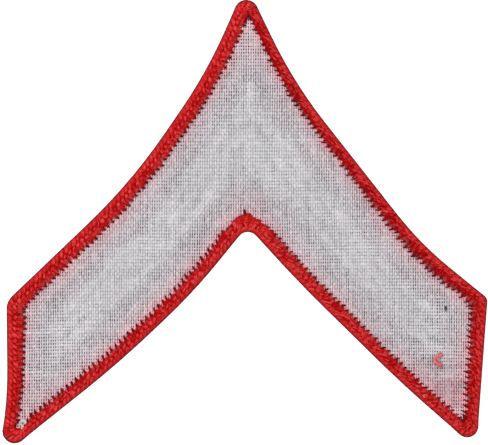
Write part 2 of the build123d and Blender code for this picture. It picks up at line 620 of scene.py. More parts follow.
class WeaveSizes(bpy.types.PropertyGroup):
    """Sizes of the backing's weave"""

    warp_pitch: FloatProperty(
        name="Warp pitch", description="Distance between the threads that run up the patch",
        default=0.474 * MM, min=0.2 * MM, unit="LENGTH", precision=6,
    )
    weft_pitch: FloatProperty(
        name="Weft pitch", description="Distance between the threads that run across the patch",
        default=0.654 * MM, min=0.2 * MM, unit="LENGTH", precision=6,
    )
    warp_width: FloatProperty(
        name="Warp width", description="Width of a warp thread",
        default=0.33 * MM, unit="LENGTH", precision=6,
    )
    weft_width: FloatProperty(
        name="Weft width", description="Width of a weft thread",
        default=0.50 * MM, unit="LENGTH", precision=6,
    )
    thread_height: FloatProperty(
        name="Thread height", description="Height of a thread's flattened section",
        default=0.24 * MM, unit="LENGTH", precision=6,
    )
    warp_wave: FloatProperty(
        name="Warp wave", description="How far a warp thread rises over the weft and dips under it",
        default=0.10 * MM, unit="LENGTH", precision=6,
    )
    weft_wave: FloatProperty(
        name="Weft wave", description="How far a weft thread rises over the warp and dips under it",
        default=0.10 * MM, unit="LENGTH", precision=6,
    )
    # The next two darken a thread, as painted shade, where it passes down between the crossing threads
    warp_gap_painted_shade: FloatProperty(
        name="Warp gap tone", description="Shade of a warp thread where it passes between two weft threads",
        default=1.0, min=0, max=1,
    )
    weft_gap_painted_shade: FloatProperty(
        name="Weft gap tone", description="Shade of a weft thread deep between two warp threads",
        default=0.63, min=0, max=1,
    )
    tucked_under: FloatProperty(
        name="Tucked under", description="Depth in from the border's edge at which the threads end",
        default=1.85 * MM, unit="LENGTH", precision=6,
    )


class StitchSizes(bpy.types.PropertyGroup):
    """Sizes of the stitches"""

    stitches: IntProperty(
        name="Stitches", description="Stitches round the whole border",
        default=296, min=12,
    )
    plies: IntProperty(
        name="Threads a stitch", description="Threads side by side in each stitch round the edge",
        default=4, min=1,
    )
    thread_width: FloatProperty(
        name="Thread width", description="Width of an overlock thread",
        default=0.40 * MM, unit="LENGTH", precision=6,
    )
    thread_height: FloatProperty(
        name="Thread height", description="Height of an overlock thread where it lies flat",
        default=0.22 * MM, unit="LENGTH", precision=6,
    )
    slant: FloatProperty(
        name="Slant", description="How far a stitch runs along the edge from its rim to the groove",
        default=0.9 * MM, unit="LENGTH", precision=6,
    )
    stripe_pitch: FloatProperty(
        name="Stripe pitch", description="Distance between the stripe's stitches",
        default=0.36 * MM, unit="LENGTH", precision=6,
    )


# Sockets of Blender's Mix node when it mixes colours
MIX_SHARE, MIX_FIRST, MIX_SECOND, MIX_RESULT = 0, 6, 7, 2

# Ridges of the plies that lie side by side round a thread
RIDGES = 2.0


class Finish:
    """A material being made: its nodes, its links and its shader."""

    def __init__(self, name, roughness, sheen=0.0, specular=0.3):
        self.material = bpy.data.materials.new(name)
        self.material.use_nodes = True
        self.tree = self.material.node_tree
        self.shader = self.tree.nodes["Principled BSDF"]
        self.shader.inputs["Roughness"].default_value = roughness
        self.shader.inputs["Specular IOR Level"].default_value = specular
        self.shader.inputs["Sheen Weight"].default_value = sheen

    def node(self, kind, inputs=(), **settings):
        """A node with its settings made and its inputs linked or set."""
        made = self.tree.nodes.new("ShaderNode" + kind)
        for key, value in settings.items():
            setattr(made, key, value)
        for key, value in dict(inputs).items():
            if isinstance(value, bpy.types.NodeSocket):
                self.tree.links.new(value, made.inputs[key])
            else:
                made.inputs[key].default_value = value
        return made

    def value(self, name):
        """A value kept on the mesh, such as tone."""
        return self.node("Attribute", attribute_name=name).outputs["Fac"]

    def math(self, operation, *values):
        """The result of one calculation."""
        return self.node("Math", dict(enumerate(values)), operation=operation).outputs[0]

    def mix(self, share, first, second, blend="MIX"):
        """Two colours mixed, each from a node or as its red, green and blue."""
        sockets = {MIX_SHARE: share}
        for key, colour in ((MIX_FIRST, first), (MIX_SECOND, second)):
            sockets[key] = colour if isinstance(colour, bpy.types.NodeSocket) else (*colour, 1)
        return self.node("Mix", sockets, data_type="RGBA", blend_type=blend).outputs[MIX_RESULT]

    def shaded(self, colour, tone):
        """A colour made darker or lighter by a tone of about 1."""
        grey = self.node("CombineColor", {"Red": tone, "Green": tone, "Blue": tone}).outputs["Color"]
        return self.mix(1.0, colour, grey, "MULTIPLY")

    def fibrous_tone(self, fibres, unevenness):
        """The tone kept on the mesh, made uneven by fibres."""
        uneven = self.math("MULTIPLY_ADD", fibres, unevenness, 1 - unevenness / 2)
        return self.math("MULTIPLY", self.value("tone"), uneven)

    def ramp(self, share, stops):
        """A colour from a row of stops."""
        made = self.node("ValToRGB", {"Fac": share})
        bar = made.color_ramp.elements
        while len(bar) < len(stops):
            bar.new(0.5)
        for element, (place, colour) in zip(bar, stops):
            element.position = place
            element.color = (*colour, 1)
        return made.outputs["Color"]

    def noise(self, scale, detail=2.0):
        """Smooth noise, from 0 to 1, whose spots are 1 / scale metres wide."""
        place = self.node("TexCoord").outputs["Object"]
        made = self.node("TexNoise", {"Vector": place, "Scale": scale, "Detail": detail})
        return made.outputs["Fac"]

    def finish(self, colour, height=None, distance=0.05 * MM, strength=1.0):
        """Links the colour and the relief to the shader."""
        self.tree.links.new(colour, self.shader.inputs["Base Color"])
        if height is not None:
            bump = self.node("Bump", {"Height": height, "Distance": distance, "Strength": strength})
            self.tree.links.new(bump.outputs["Normal"], self.shader.inputs["Normal"])
        return self.material

    def twist(self, turn_length, strength=1.0):
        """Ridges of the plies that wind round a thread, from 0 to 1."""
        place = self.node("UVMap", uv_map="Twist").outputs["UV"]
        parts = self.node("SeparateXYZ", {"Vector": place})
        along = self.math("DIVIDE", parts.outputs["X"], turn_length / MM)
        turns = self.math("ADD", along, self.math("MULTIPLY", parts.outputs["Y"], RIDGES))
        phase = self.math("MULTIPLY", turns, 2 * np.pi)
        return self.math("MULTIPLY_ADD", self.math("SINE", phase), 0.5 * strength, 0.5)


def backing_finish(colours):
    """Pale cotton thread, greyer over the dark ground, with a pink halo by the border."""
    made = Finish("backing_thread", 0.85, sheen=0.15)
    tint = made.value("tint")
    cloth = made.mix(made.value("behind"), colours.cloth, colours.cloth_over_stripe)
    dyed = made.mix(made.math("MULTIPLY", tint, 1.43), cloth, colours.halo)
    # The fluff's colour takes over where the tint is above 0.7
    deep = made.math("MULTIPLY", made.math("SUBTRACT", tint, 0.7), 3.33)
    dyed = made.mix(deep, dyed, colours.fluff)
    fibres = made.noise(9000.0)
    relief = made.math("ADD", made.twist(0.6 * MM, 0.6), made.math("MULTIPLY", fibres, 0.6))
    return made.finish(made.shaded(dyed, made.fibrous_tone(fibres, 0.24)), relief, 0.02 * MM, 0.7)


def gap_finish(colours):
    """What shows through the gaps of the backing: dark ground cloth, or pale stripe thread."""
    made = Finish("seen_through_gaps", 0.9)
    cloth = made.mix(made.value("behind"), colours.gap_dark, colours.gap_pale)
    cloth = made.mix(made.value("tint"), cloth, colours.gap_red)
    fibres = made.noise(4000.0)
    return made.finish(made.shaded(cloth, made.math("MULTIPLY_ADD", fibres, 0.6, 0.7)), fibres, 0.05 * MM)


def ground_finish(colours):
    """Near-black twill, with fine diagonal ribs."""
    made = Finish("ground_twill", 0.9, sheen=0.2)
    place = made.node("TexCoord").outputs["Object"]
    wave = {"Vector": place, "Scale": 620.0, "Distortion": 0.6, "Detail Scale": 400.0}
    ribs = made.node("TexWave", wave, wave_type="BANDS", bands_direction="DIAGONAL").outputs["Fac"]
    fibres = made.noise(5000.0)
    tone = made.math("ADD", made.math("MULTIPLY", ribs, 0.7), made.math("MULTIPLY_ADD", fibres, 0.5, 0.4))
    relief = made.math("ADD", ribs, made.math("MULTIPLY", fibres, 0.4))
    return made.finish(made.shaded(colours.ground, tone), relief, 0.08 * MM)


def stripe_finish(colours):
    """Off-white embroidery thread with a satin sheen."""
    made = Finish("stripe_thread", 0.45, sheen=0.3)
    colour = made.shaded(colours.stripe, made.fibrous_tone(made.noise(3000.0), 0.2))
    return made.finish(colour, made.twist(0.7 * MM), 0.03 * MM, 0.6)


# The red thread from its darkest tone to its palest: place on the ramp, and how many times the
# thread's own red, green and blue. Through the tones set on the threads, the darkest stops are painted
# shade at the needle holes and in the groove, and the palest are painted highlight on the chain's crowns.
RED_STOPS = [
    (0.00, (0.15, 0.50, 0.80)),
    (0.25, (0.44, 0.26, 0.34)),
    (0.50, (0.79, 0.20, 0.17)),
    (0.75, (1.01, 1.15, 1.02)),
    (1.00, (1.38, 4.60, 4.30)),
]

# The rosy colour of its loose fibres
RED_FLUFF = (0.80, 0.38, 0.40)


def red_finish(colours, name="border_thread"):
    """Red overlock thread: near black as painted shade where it goes into the cloth, rosy where its plies
    fluff.
    """
    made = Finish(name, 0.7, specular=0.0)
    stops = [(place, np.array(colours.red) * times) for place, times in RED_STOPS]
    fibres = made.noise(4600.0, 3.0)
    strands = made.twist(0.55 * MM)
    tone = made.value("tone")
    for change, amount in ((fibres, 0.60), (made.noise(2600.0, 1.0), 0.80), (strands, 0.10)):
        tone = made.math("ADD", tone, made.math("MULTIPLY_ADD", change, amount, -amount / 2))
    colour = made.mix(made.value("tint"), made.ramp(tone, stops), RED_FLUFF)
    relief = made.math("ADD", strands, made.math("MULTIPLY", fibres, 0.5))
    return made.finish(colour, relief, 0.03 * MM, 0.8)


def lint_finish(colours):
    """Pale greenish fluff."""
    made = Finish("pale_lint", 0.9, sheen=0.3)
    return made.finish(made.shaded(colours.lint, made.fibrous_tone(made.noise(6000.0), 0.2)))


def dress(piece, material):
    """Gives a piece its material and its slot, and lets it ride on the patch."""
    piece.data.materials.append(material)
    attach(piece, "root")


def grid_runs(loop_points, position, axis):
    """Stretches of a line across a closed outline, as pairs of start and end."""
    across, along = loop_points[:, axis], loop_points[:, 1 - axis]
    next_across, next_along = np.roll(across, -1), np.roll(along, -1)
    crossed = (across <= position) != (next_across <= position)
    share = (position - across[crossed]) / (next_across[crossed] - across[crossed])
    hits = np.sort(along[crossed] + share * (next_along[crossed] - along[crossed]))
    return hits.reshape(-1, 2)


# The stripe shows through the backing this far to the right of where it lies
STRIPE_SHIFT = 0.3 * MM

# The pink halo: how far out from the tips of the stitches it starts, and the strength and reach of its
# wide part and of its close part
HALO_START = 0.45 * MM
WIDE_HALO, WIDE_REACH = 0.49, 1.95 * MM
CLOSE_HALO, CLOSE_REACH = 0.32, 0.45 * MM

# Marks on the backing, in the patch's own frame: their middle and half sizes, how pink and how dark
# each makes the cloth. They are at the right tip, the left tip, the point, the notch and the right
# shoulder. The last is the small dark speck at the right end of the stripe.
Stain = namedtuple("Stain", "x y wide high strength shade")
STAINS = [
    Stain(42.4 * MM, -34.6 * MM, 3.6 * MM, 3.2 * MM, 0.44, 0.10),
    Stain(40.7 * MM, -33.0 * MM, 4.6 * MM, 3.0 * MM, 0.44, 0.15),
    Stain(36.6 * MM, -29.2 * MM, 4.4 * MM, 3.0 * MM, 0.14, 0.14),
    Stain(41.4 * MM, -29.4 * MM, 3.8 * MM, 3.6 * MM, 0.20, 0.09),
    Stain(42.6 * MM, -26.6 * MM, 3.0 * MM, 4.0 * MM, 0.06, 0.02),
    Stain(-43.4 * MM, -35.6 * MM, 6.0 * MM, 6.4 * MM, 0.12, 0.0),
    Stain(0.7 * MM, 36.2 * MM, 5.0 * MM, 9.0 * MM, 0.12, 0.0),
    Stain(0.4 * MM, 4.0 * MM, 5.0 * MM, 4.6 * MM, 0.14, 0.03),
    Stain(43.6 * MM, -16.8 * MM, 3.6 * MM, 4.4 * MM, 0.14, 0.0),
    Stain(40.1 * MM, -17.4 * MM, 0.46 * MM, 0.60 * MM, 0.0, 0.90),
]


class BackingLooks:
    """How the backing varies from place to place: its threads' places, widths and colours."""

    def __init__(self, rng):
        self.bend_x, self.bend_y = Cloud(rng, 22 * MM), Cloud(rng, 26 * MM)
        self.open = Cloud(rng, 5 * MM)
        self.fine_open = Cloud(rng, 1.6 * MM)
        self.edge_noise = Cloud(rng, 2.2 * MM)
        self.halo_noise = Cloud(rng, 0.75 * MM)
        self.wide_halo = Cloud(rng, 9 * MM)
        self.dirt = Cloud(rng, 7 * MM)
        self.brushed = Cloud(rng, 8 * MM, rows=0.11)
        self.sides = [np.vstack([arm[k] for arm in stripe_sides()]) for k in (0, 1)]

    def over_stripe(self, flat):
        """How deep inside the stripe's outline, as it shows through, each place is."""
        return stripe_loop.depth(flat - [STRIPE_SHIFT, 0.0])

    def behind(self, flat):
        """0 over the dark ground and 1 over the stripe."""
        depth = self.over_stripe(flat) + 0.4 * MM * self.edge_noise.at(*flat.T)
        return ease(depth, -0.8 * MM, 0.8 * MM)

    def streaks(self, flat):
        """How light or dark the cloth is along the arms: faint lines, and a shadow beside the stripe."""
        outer, inner = (nearest_distance(flat, side) for side in self.sides)
        along = np.where(flat[:, 0] < 0, flat[:, 1] * 0.7, 0.05 - flat[:, 1] * 0.7) + 0.7 * flat[:, 0]
        brushed = self.brushed.at(along, outer)
        over = self.over_stripe(flat)
        lines = np.cos(2 * np.pi * (3 * outer / (outer + inner) - 0.40) + 0.8 * self.edge_noise.at(*flat.T))
        shadow = close_to(over, -1.3 * MM, 1.0 * MM, 2)
        return 0.036 * brushed + 0.014 * lines * ease(over, -0.5 * MM, 0.8 * MM) - 0.020 * shadow

    def halo(self, flat):
        """How pink the thread is, from the border inwards."""
        tips = course.rows[course.edge.nearest(flat)[0], REACH_COLUMN]
        beyond = course.edge.depth(flat) - tips + HALO_START
        depth = np.maximum(beyond, 0)
        uneven = 1 + 0.50 * self.halo_noise.at(*flat.T) + 0.30 * self.wide_halo.at(*flat.T)
        near = WIDE_HALO * np.exp(-depth / WIDE_REACH) + CLOSE_HALO * np.exp(-depth / CLOSE_REACH)
        near = near * uneven + 0.45 * ease(-beyond, -0.1 * MM, 0.6 * MM)
        stain = 0.7 * self.stained(flat, "strength") * (1 + 0.6 * self.halo_noise.at(*flat.T))
        return np.clip(near + stain, 0, 1)

    def stained(self, flat, key):
        """One value of the marks, where they are."""
        found = np.zeros(len(flat))
        for mark in STAINS:
            away = np.hypot(*((flat - [mark.x, mark.y]) / [mark.wide, mark.high]).T)
            found = np.maximum(found, getattr(mark, key) * (1 - ease(away, 0.45, 1.0)))
        return found


# How far the backing's threads sway to the sides and up the patch, and how near to a thread's end its
# last crossing may be
SWAY_X, SWAY_Y = 0.34 * MM, 0.30 * MM
END_MARGIN = 0.05 * MM

# Stretches of thread with fewer places than this are left out
FEWEST_PLACES = 6


def crossings(start, end, pitch, parity, gap_painted_shade):
    """Places along a thread where it crosses others and half way between them, and its two ends.

    With them comes whether it is over (1), under (-1) or between (0) the others, and its tone there,
    lowered between the others as painted shade.
    """
    halves = np.arange(np.ceil(2 * start / pitch), np.floor(2 * end / pitch) + 1)
    places = halves / 2 * pitch
    inside = (places > start + END_MARGIN) & (places < end - END_MARGIN)
    halves, places = halves[inside], places[inside]
    over = np.where((halves / 2 + parity) % 2 == 0, 1.0, -1.0)
    between = halves % 2 == 1
    over[between] = 0.0
    return (
        np.concatenate([[start], places, [end]]),
        np.concatenate([[0.0], over, [0.0]]),
        np.concatenate([[1.0], np.where(between, gap_painted_shade, 1.0), [1.0]]),
    )


def weave_threads(weave, looks, rng, clip, axis):
    """The threads of the backing that run one way: up the patch on axis 0, across it on axis 1."""
    pitches = (weave.warp_pitch, weave.weft_pitch)
    pitch, crossing_pitch = pitches[axis], pitches[1 - axis]
    half_width = (weave.warp_width, weave.weft_width)[axis] / 2
    wave = (weave.warp_wave, weave.weft_wave)[axis]
    gap_painted_shade = (weave.warp_gap_painted_shade, weave.weft_gap_painted_shade)[axis]
    half_height = weave.thread_height / 2
    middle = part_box(BACKING)[1].z - half_height - max(weave.warp_wave, weave.weft_wave)
    own = Cloud(rng, 2.4 * MM)
    slow = Cloud(rng, 9 * MM)
    threads = Threads()
    low, high = clip[:, axis].min(), clip[:, axis].max()
    for number in range(int(np.ceil(low / pitch)), int(high / pitch) + 1):
        size, shade, shift = rng.normal(0, (0.07, 0.035, 0.012 * MM))
        for start, end in grid_runs(clip, number * pitch, axis):
            places, over, sunk_painted_shade = crossings(start, end, crossing_pitch, number + axis, gap_painted_shade)
            if len(places) < FEWEST_PLACES:
                continue
            line = np.full(len(places), number * pitch)
            x, y = (line, places) if axis == 0 else (places, line)
            own_row = own.at(places, number * own.size[1])
            slow_row = slow.at(places, number * slow.size[1])
            flat = np.column_stack([
                x + SWAY_X * looks.bend_x.at(x, y),
                y + SWAY_Y * looks.bend_y.at(x, y),
            ])
            flat[:, axis] += shift + 0.018 * MM * own_row + 0.02 * MM * slow_row
            open_share = 0.07 * looks.open.at(x, y) + 0.07 * looks.fine_open.at(x, y)
            open_share = open_share + rng.normal(0, 0.12, len(places))
            widths = half_width * (1 + size + 0.12 * own_row + open_share)
            streaks = looks.streaks(flat)
            tone = 1 + shade + 0.04 * own_row + 0.015 * looks.dirt.at(x, y) + streaks
            halo = looks.halo(flat)
            tone = tone - looks.stained(flat, "shade") + 0.25 * ease(halo, 0.6, 0.95)
            behind = looks.behind(flat)
            widths *= 0.95 + 0.05 * behind + 1.2 * streaks
            # One place in twenty is pinched
            widths *= 1 - 0.46 * (rng.random(len(places)) < 0.05)
            # Painted shade: how much darker the thread is where it lies down between others
            shut = 1 + 0.30 * looks.open.at(x, y) + rng.normal(0, 0.28, len(places))
            tone = tone * (1 - (1 - sunk_painted_shade) * (1.34 - 0.36 * behind - 4 * streaks) * np.clip(shut, 0.2, 1.6))
            threads.add(
                np.column_stack([flat, middle + wave * over]),
                UP,
                np.maximum(widths, 0.1 * MM),
                half_height,
                tone,
                tint=halo,
                behind=behind,
            )
    return threads


class CHEVRON_OT_backing_cloth(bpy.types.Operator):
    """Weave the pale backing over what shows through its gaps"""

    bl_idname = "chevron.backing_cloth"
    bl_label = "Backing Cloth"

    def execute(self, context):
        scene = context.scene
        weave, colours = scene.chevron_weave, scene.chevron_colours
        rng = np.random.default_rng(11)
        looks = BackingLooks(rng)
        low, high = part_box(BACKING)
        thread = backing_finish(colours)
        moved, kept = course.edge.inset(weave.tucked_under)
        clip = moved[kept]
        warp = weave_threads(weave, looks, rng, clip, 0).make("backing_warp", ROUND_TOP)
        weft = weave_threads(weave, looks, rng, clip, 1).make("backing_weft", ROUND_TOP)
        for piece in (warp, weft):
            dress(piece, thread)
        outline = Loop(wall_ring(BACKING, high.z))
        top = high.z - weave.thread_height - 2 * max(weave.warp_wave, weave.weft_wave) - 0.03 * MM
        base = sheet_mesh(
            "backing_cloth_sheet", outline, low.z, top, 1.0 * MM, lambda x, y: 0 * x,
            {"behind": looks.behind, "tint": looks.halo},
        )
        dress(base, gap_finish(colours))
        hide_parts(BACKING)
        return {"FINISHED"}


class CHEVRON_OT_ground_cloth(bpy.types.Operator):
    """Lay the dark ground cloth under the backing"""

    bl_idname = "chevron.ground_cloth"
    bl_label = "Ground Cloth"

    def execute(self, context):
        colours = context.scene.chevron_colours
        low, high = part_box(GROUND)
        outline = Loop(wall_ring(GROUND, high.z))
        ripples = Cloud(np.random.default_rng(5), 6 * MM)
        cloth = sheet_mesh(
            "ground_cloth_sheet", outline, low.z, high.z - 0.02 * MM, 1.0 * MM,
            lambda x, y: 0.015 * MM * ripples.at(x, y), {},
        )
        dress(cloth, ground_finish(colours))
        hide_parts(GROUND)
        return {"FINISHED"}


# A stitch of the stripe from one side of the arm to the other: share of the way, and of its full rise
StripePoint = namedtuple("StripePoint", "share rise")
STRIPE_STITCH = [
    StripePoint(0.00, 0.00),
    StripePoint(0.02, 0.55),
    StripePoint(0.15, 0.85),
    StripePoint(0.50, 1.00),
    StripePoint(0.85, 0.85),
    StripePoint(0.98, 0.55),
    StripePoint(1.00, 0.00),
]


class CHEVRON_OT_rank_stripe(bpy.types.Operator):
    """Stitch the raised stripe of the face, side by side across each arm"""

    bl_idname = "chevron.rank_stripe"
    bl_label = "Rank Stripe"

    def execute(self, context):
        scene = context.scene
        sizes, colours = scene.chevron_stitches, scene.chevron_colours
        rng = np.random.default_rng(23)
        low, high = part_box(STRIPE)
        relief = high.z - low.z
        shares, rise = np.array(STRIPE_STITCH).T
        half_height = 0.16 * relief
        heights = high.z - half_height - rise * (relief - 2 * half_height)
        threads = Threads()
        for outer, inner in stripe_sides():
            long_side = max(np.linalg.norm(np.diff(side, axis=0), axis=1).sum() for side in (outer, inner))
            count = int(round(long_side / sizes.stripe_pitch))
            along = (np.arange(count) + 0.5 + rng.uniform(-0.1, 0.1, count)) / count
            start, end = even_path(outer, along), even_path(inner, along)
            plan = start[:, None] + (end - start)[:, None] * shares[None, :, None]
            level = np.broadcast_to(heights[:, None], (*plan.shape[:2], 1))
            centres = np.concatenate([plan, level], axis=-1)
            tone = 1 + rng.normal(0, 0.05, (count, 1))
            threads.add(centres, DOWN, sizes.stripe_pitch * 0.55, half_height, tone)
        stitches = threads.make("rank_stripe_stitches", ROUND_TOP)
        dress(stitches, stripe_finish(colours))
        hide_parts(STRIPE)
        return {"FINISHED"}


# Angles of the rings on the rounding of the border's edge, from its back down to its side
ROUNDING_ANGLES = np.radians([90, 68, 45, 22, 0])


def wrap_section(sink, back_depth, face_depth):
    """Depth, height and facing along a thread that wraps the border's edge from its back to its face."""
    radius = course.rounding - sink
    arc = ROUNDING_ANGLES
    depth = np.concatenate([
        [back_depth], course.rounding - radius * np.cos(arc), course.rounding - radius * np.cos(arc[::-1]),
        [face_depth],
    ])
    height = np.concatenate([
        [course.high - sink], course.high - course.rounding + radius * np.sin(arc),
        course.low + course.rounding - radius * np.sin(arc[::-1]), [course.low + sink],
    ])
    out = np.concatenate([[0.0], np.cos(arc), np.cos(arc[::-1]), [0.0]])
    up = np.concatenate([[1.0], np.sin(arc), -np.sin(arc[::-1]), [-1.0]])
    return depth, height, out, up


# The border's core: rings round the patch, how far it lies under the threads, how far in it reaches on
# the back, at its lip over the cloth, on the face and under the cloth, and its gap to the cloth
CORE_RINGS = 640
CORE_SINK = 0.17 * MM
CORE_BACK, CORE_LIP = 1.6 * MM, 2.15 * MM
CORE_FACE, CORE_FOOT = 2.6 * MM, 2.9 * MM
CORE_GAP = 0.05 * MM


def border_core():
    """The filled inside of the border, a C-section all round, with a dark red surface: painted shade
    where it shows in the gaps between the threads.
    """
    depth, height, _, _ = wrap_section(CORE_SINK, CORE_BACK, CORE_FACE)
    cloth_edge = Loop(wall_ring(BACKING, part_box(BACKING)[1].z)).points[::9]
    wall = course.edge.nearest(cloth_edge)[1].mean() - CORE_GAP
    under, over = course.slot_low - CORE_GAP, course.slot_high + CORE_GAP
    depth = np.concatenate([
        [CORE_LIP, CORE_LIP - 0.1 * MM], depth, [CORE_FOOT, CORE_FOOT, wall, wall],
    ])
    height = np.concatenate([
        [over, course.high - 0.35 * MM], height, [course.low + CORE_SINK + 0.1 * MM, under, under, over],
    ])
    along = np.arange(CORE_RINGS) * course.edge.length / CORE_RINGS
    points = course.place(along[:, None], depth[None], height[None])
    sides = len(depth)
    ring, side = np.arange(CORE_RINGS)[:, None], np.arange(sides)
    next_ring, onward = (ring + 1) % CORE_RINGS, np.roll(side, -1)
    quads = np.stack(
        [
            ring * sides + side,
            ring * sides + onward,
            next_ring * sides + onward,
            next_ring * sides + side,
        ],
        axis=-1,
    ).reshape(-1, 4)
    # An even middle tone: dark red, painted shade for the gaps between the threads
    values = {"tone": np.full(len(along) * sides, 0.50), "tint": np.zeros(len(along) * sides)}
    return make_mesh("border_core", points.reshape(-1, 3), [quads], values=values)


# Cover threads: how far in they reach on the back and on the face, and their tone at each ring from
# the groove to the face. The tone is painted shade: lower in the groove and lowest on the border's side.
COVER_BACK, COVER_FACE = 1.6 * MM, 2.95 * MM
COVER_PAINTED_SHADE_TONES = np.array([0.60, 0.76, 0.82, 0.56, 0.06, 0.02, 0.20, 0.44, 0.66, 0.74, 0.74, 0.60])


def cover_threads(sizes, rng, places):
    """Threads that wrap the cut edge: from the groove beside the chain, round the edge, to the face."""
    threads = Threads()
    many = len(places)
    half_width, half_height = sizes.thread_width / 2, sizes.thread_height / 2
    base_depth, base_height, out, up = wrap_section(half_height, COVER_BACK, COVER_FACE)
    on_side = np.abs(up) < 0.8
    drift = np.minimum(base_depth / course.rounding, 1) - 0.5
    drift[up <= 0] = drift.min()
    pitch = course.edge.length / sizes.stitches
    for ply in range(sizes.plies):
        offset = (ply - (sizes.plies - 1) / 2) / sizes.plies
        start = places + offset * 0.88 * pitch + rng.normal(0, 0.02 * MM, many)
        along = start[:, None] + sizes.slant * drift + offset * 0.12 * pitch * on_side
        depth = np.repeat(base_depth[None], many, axis=0)
        height = np.repeat(base_height[None], many, axis=0)
        # The first two rings go down into the groove
        groove = course.row(along).groove
        depth[:, 0] = groove[:, 0] + 0.30 * MM
        depth[:, 1] = np.minimum(depth[:, 1], groove[:, 1] - 0.02 * MM)
        height[:, 0] -= 0.24 * MM
        height[:, 1] -= 0.03 * MM
        crown = 0.09 * MM * np.cos(np.pi * offset * 1.6) + rng.normal(0, 0.012 * MM, (many, 1))
        crown = crown * np.maximum(up, 0) + 0.045 * MM * on_side
        depth -= crown * out
        height += crown * up
        height[:, -1] += 0.08 * MM
        facing = course.outward(along) * out[None, :, None] + np.array(UP) * up[None, :, None]
        uneven = rng.normal(0, 0.10, (many, 1)) - (0.26 if offset < -0.3 else 0.0)
        tone = COVER_PAINTED_SHADE_TONES + uneven * np.maximum(up, 0.15) ** 2
        swell = 1 + rng.normal(0, 0.06, (many, 1)) + 0.35 * (np.abs(up) < 0.5)
        rim = 0.05 * on_side * (up > 0.5)
        centres = course.place(along, depth, height)
        threads.add(centres, facing, half_width * swell, half_height, tone, tint=rim)
    return threads


# One leaf of the chain, in millimetres from its middle: along its length, half its spread, its rise
# over the border, the strands' half width and their tone. The tone is a painted highlight on the
# leaf's crown and painted shade at its ends, where it dips in.
LeafPoint = namedtuple("LeafPoint", "along spread rise half_width tone")
CHAIN_LEAF = [
    LeafPoint(-0.76, 0.04, -0.24, 0.09, 0.34),
    LeafPoint(-0.44, 0.14, -0.02, 0.13, 0.68),
    LeafPoint(-0.12, 0.19, 0.06, 0.15, 0.90),
    LeafPoint(0.22, 0.18, 0.07, 0.15, 0.94),
    LeafPoint(0.52, 0.11, 0.01, 0.13, 0.76),
    LeafPoint(0.72, 0.03, -0.18, 0.09, 0.40),
]

# Where the border's stitches fan out round the notch: half the reach of it, and the turn of the
# chain's leaves there, in degrees
CHAIN_FAN, STITCH_FAN = 2.2 * MM, 3.2 * MM
FANNED_TURN = 82


def chain_threads(rng, places):
    """Plump leaves of the chain that runs round the border, each of three strands side by side."""
    along_leaf, spread, rise, half_width, painted_light_and_shade_tones = np.array(CHAIN_LEAF).T
    row = course.row(places)
    many = len(places)
    size = (0.90 + rng.normal(0, 0.10, many))[:, None]
    plump = (1 + rng.normal(0, 0.12, many))[:, None]
    apart = row.fine[:, None]
    fanned = close_to(places, course.notch_place, CHAIN_FAN)
    turn = row.turn + (FANNED_TURN - row.turn) * fanned + rng.normal(0, 7 + 5 * row.fine, many)
    turn = np.radians(turn)[:, None]
    middle = row.chain[:, None] + rng.normal(0, 0.06 * MM, (many, 1)) * (1 + row.fine[:, None])
    stretch = course.stretch(places, row.chain)[:, None]
    leaf_tone = rng.normal(0, 0.08, (many, 1))
    threads = Threads()
    for side, lift in ((-1.0, 0.0), (0.0, 0.05), (1.0, 0.0)):
        onward = along_leaf * size * MM
        sideways = side * (spread + (0.27 - spread) * apart) * plump * MM
        loose = rng.normal(0, 0.16 * MM, (many, 1)) * apart
        along = places[:, None] + loose + (onward * np.cos(turn) - sideways * np.sin(turn)) / stretch
        across = onward * np.sin(turn) + sideways * np.cos(turn)
        height = course.high + (rise + lift - 0.12) * MM + rng.normal(0, 0.02 * MM, (many, 1))
        # The side strands are darker: painted shade on the leaf's rounded sides
        tone = painted_light_and_shade_tones + leaf_tone + rng.normal(0, 0.08 + 0.12 * apart) - 0.14 * abs(side) * (1 - apart)
        centres = course.place(along, middle + across, height)
        own_width = half_width * plump * (1 - 0.28 * apart) * MM
        threads.add(centres, UP, own_width, 0.12 * MM, tone)
    return threads


# Strands of the inner stitches: how far along the way they are, share of their spread that is left,
# drop and half width in millimetres, and tone. The filling ends where the tips start. The tips' tone
# falls to near black: painted shade where they go down into the needle holes.
StrandPoint = namedtuple("StrandPoint", "share spread drop half_width tone")
FILLING_STRAND = [
    StrandPoint(0.00, 1.00, 0.22, 0.15, 0.52),
    StrandPoint(0.35, 1.00, 0.10, 0.16, 0.72),
    StrandPoint(0.75, 1.00, 0.26, 0.15, 0.60),
    StrandPoint(1.00, 0.96, 0.42, 0.10, 0.50),
]
TIP_STRAND = [
    StrandPoint(-0.60, 1.00, 0.18, 0.13, 0.52),
    StrandPoint(-0.20, 0.96, 0.28, 0.13, 0.26),
    StrandPoint(0.15, 0.86, 0.38, 0.13, 0.13),
    StrandPoint(0.72, 0.54, 0.46, 0.12, 0.05),
    StrandPoint(1.00, 0.34, 0.56, 0.10, 0.02),
]

# The one long dark tip over the notch, with its half widths and tones. Its dark is painted shade
# that deepens towards its end.
NOTCH_SPIKE = [
    Point(0.10, 1.20, 0.26),
    Point(0.04, 1.60, 0.20),
    Point(-0.06, 2.10, 0.14),
    Point(-0.12, 2.50, 0.08),
]
SPIKE_HALF_WIDTHS = np.array([0.30, 0.28, 0.20, 0.10]) * MM
SPIKE_PAINTED_SHADE_TONES = [0.5, 0.2, 0.0, 0.0]


